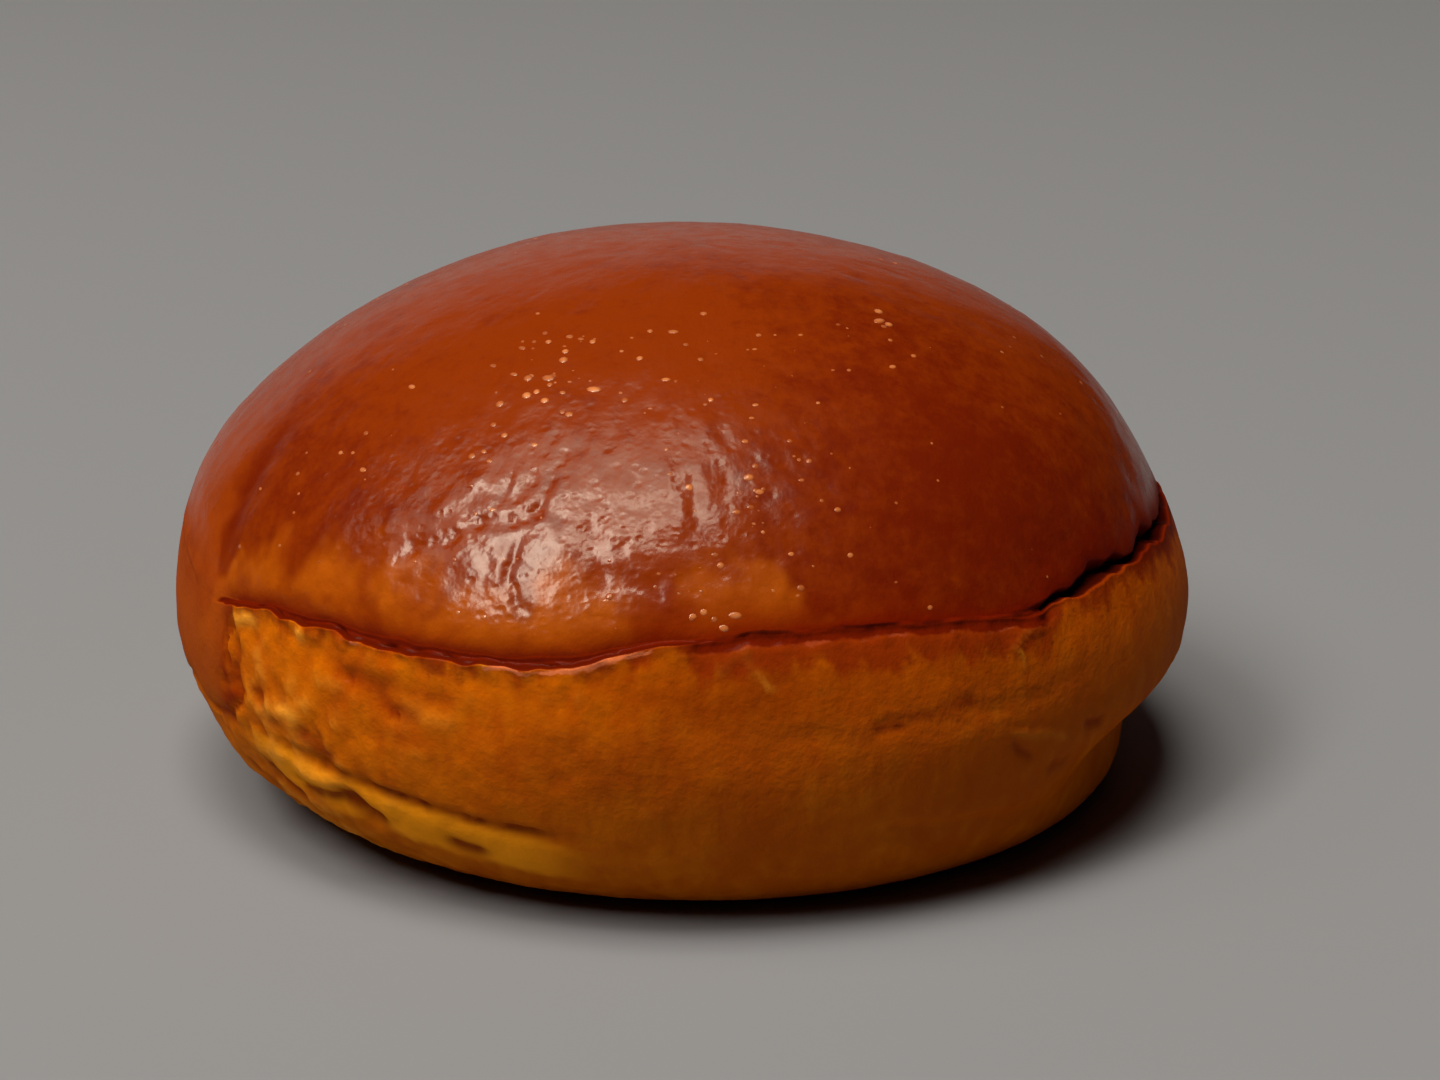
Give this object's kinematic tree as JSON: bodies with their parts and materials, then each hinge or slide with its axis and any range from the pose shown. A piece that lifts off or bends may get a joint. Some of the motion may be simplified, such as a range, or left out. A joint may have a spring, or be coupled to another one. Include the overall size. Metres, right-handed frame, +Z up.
{
  "type": "brioche burger bun",
  "caption": "Uncut brioche burger bun with a tall glazed brown crown, a ragged break line round it and a soft golden flank.",
  "frame": {"origin": "middle of the flat foot, under the middle of the bounding box", "axes": "+Z up out of the crown, -Y towards the front that the picture shows, +X to the right of that front"},
  "size_m": [0.1022, 0.102, 0.054],
  "materials": {
    "crust": "baked crust, egg glazed on the crown and matte on the flank"
  },
  "bodies": {
    "root": {"bun": "crust"}
  },
  "joints": []
}
